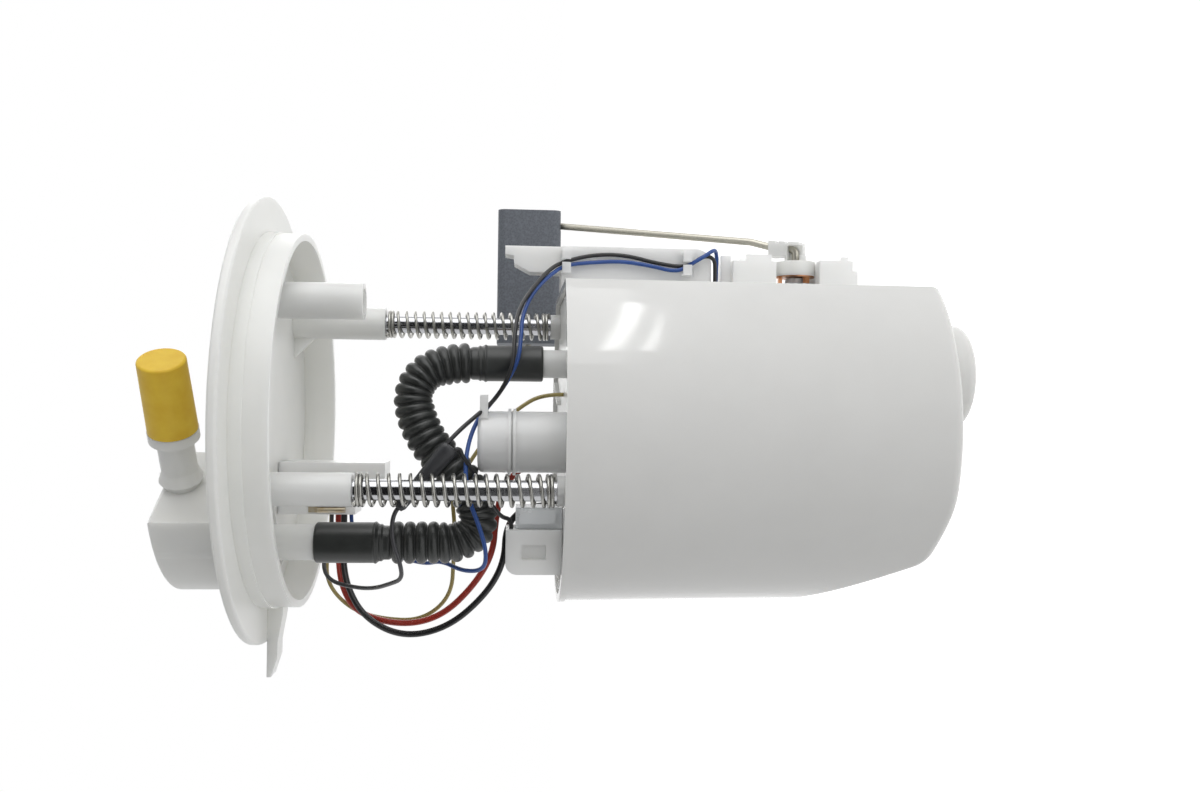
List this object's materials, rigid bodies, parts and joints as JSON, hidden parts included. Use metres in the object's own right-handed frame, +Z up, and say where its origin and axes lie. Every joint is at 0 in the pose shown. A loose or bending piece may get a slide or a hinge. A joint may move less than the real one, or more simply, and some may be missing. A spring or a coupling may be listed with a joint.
{
  "type": "fuel pump module",
  "caption": "Tank cover with two sprung guide rods that carry a pump reservoir, a corrugated hose, wiring, and a level sender with a float arm.",
  "frame": {"origin": "centre of the cover's seat, in the plane of the underside of its rim", "axes": "+Z up, out of the tank; +X to the side with the level sender; +Y to the float's side"},
  "size_m": [0.159, 0.1475, 0.2419],
  "materials": {
    "black_insulation": "smooth",
    "black_rubber": "slightly shiny",
    "blue_insulation": "smooth",
    "carbon": "matt",
    "ceramic_card": "printed",
    "clear_plastic": "translucent",
    "copper": "bright",
    "filter_paper": "pleated",
    "float_foam": "matt",
    "grey_insulation": "smooth",
    "grey_plastic": "matt",
    "magnet_ferrite": "ground",
    "motor_steel": "plated",
    "natural_plastic": "milky, slightly glossy",
    "olive_insulation": "smooth",
    "pin_metal": "tinned",
    "polished_steel": "polished",
    "red_insulation": "smooth",
    "sock_mesh": "fine mesh",
    "spring_steel": "drawn wire",
    "yellow_plastic": "matt"
  },
  "bodies": {
    "cover": {"tank_cover": "natural_plastic", "connector_pins": "pin_metal", "harness_plug": "natural_plastic", "wire_tags": "pin_metal", "guide_rod_near": "polished_steel", "guide_rod_far": "polished_steel", "rod_clips": "spring_steel", "guide_spring_near": "spring_steel", "guide_spring_far": "spring_steel"},
    "reservoir": {"reservoir_cup": "natural_plastic", "pump_holder": "natural_plastic", "regulator_housing": "natural_plastic", "regulator_cap": "natural_plastic", "pressure_regulator": "motor_steel", "regulator_seal": "black_rubber", "pump_plug": "natural_plastic", "filter_case": "natural_plastic", "filter_lid": "natural_plastic", "filter_element": "filter_paper", "pump_case": "motor_steel", "pump_head": "grey_plastic", "chamber_plate": "grey_plastic", "pump_inlet_cover": "grey_plastic", "motor_magnets": "magnet_ferrite", "motor_brushes": "carbon", "check_valve_spring": "spring_steel", "pump_cushion": "black_rubber", "strainer_frame": "natural_plastic", "strainer_sock": "sock_mesh", "return_tube": "natural_plastic", "jet_pump": "natural_plastic", "foot_valve": "black_rubber", "sender_rail": "natural_plastic", "sender_body": "natural_plastic", "resistor_card": "ceramic_card", "sender_contacts": "copper", "fuel_hose": "black_rubber", "splice_sleeve": "black_insulation", "sender_wire_blue": "blue_insulation", "sender_wire_black": "black_insulation", "link_wire_black": "black_insulation", "ground_lead_grey": "grey_insulation", "power_wire_black": "black_insulation", "power_wire_red": "red_insulation", "signal_wire_olive": "olive_insulation"},
    "rotor": {"armature": "motor_steel", "motor_shaft": "polished_steel", "commutator": "copper", "impeller": "grey_plastic"},
    "check_valve": {"check_valve": "grey_plastic"},
    "plug_lock": {"plug_lock": "clear_plastic"},
    "float_arm": {"arm_hub": "natural_plastic", "wiper": "copper", "float_arm": "spring_steel", "float": "float_foam"},
    "outlet_cap": {"outlet_cap": "yellow_plastic"}
  },
  "joints": [
    {"name": "reservoir_slide", "type": "slide", "parent": "cover", "child": "reservoir", "axis": [0, 0, 1], "range_m": [0, 0.034], "stiffness_N_per_m": 1500, "springref_m": -0.03, "deforming": ["guide_spring_near", "guide_spring_far", "sender_wire_blue", "sender_wire_black", "link_wire_black", "ground_lead_grey", "power_wire_black", "power_wire_red", "signal_wire_olive", "splice_sleeve", "fuel_hose"]},
    {"name": "float_swing", "type": "hinge", "parent": "reservoir", "child": "float_arm", "pos_m": [0, 0.006, -0.1698], "axis": [1, 0, 0], "range_deg": [-65, 6]},
    {"name": "pump_spin", "type": "hinge", "parent": "reservoir", "child": "rotor", "pos_m": [-0.004, 0, -0.14], "axis": [0, 0, 1], "continuous": true},
    {"name": "check_valve_lift", "type": "slide", "parent": "reservoir", "child": "check_valve", "axis": [0, 0, 1], "range_m": [0, 0.0025], "stiffness_N_per_m": 100, "springref_m": -0.002, "deforming": ["check_valve_spring"]},
    {"name": "plug_lock_slide", "type": "slide", "parent": "reservoir", "child": "plug_lock", "axis": [1, 0, 0], "range_m": [0, 0.003]},
    {"name": "cap_pull", "type": "slide", "parent": "cover", "child": "outlet_cap", "axis": [0.848, -0.5299, 0], "range_m": [0, 0.03]}
  ]
}
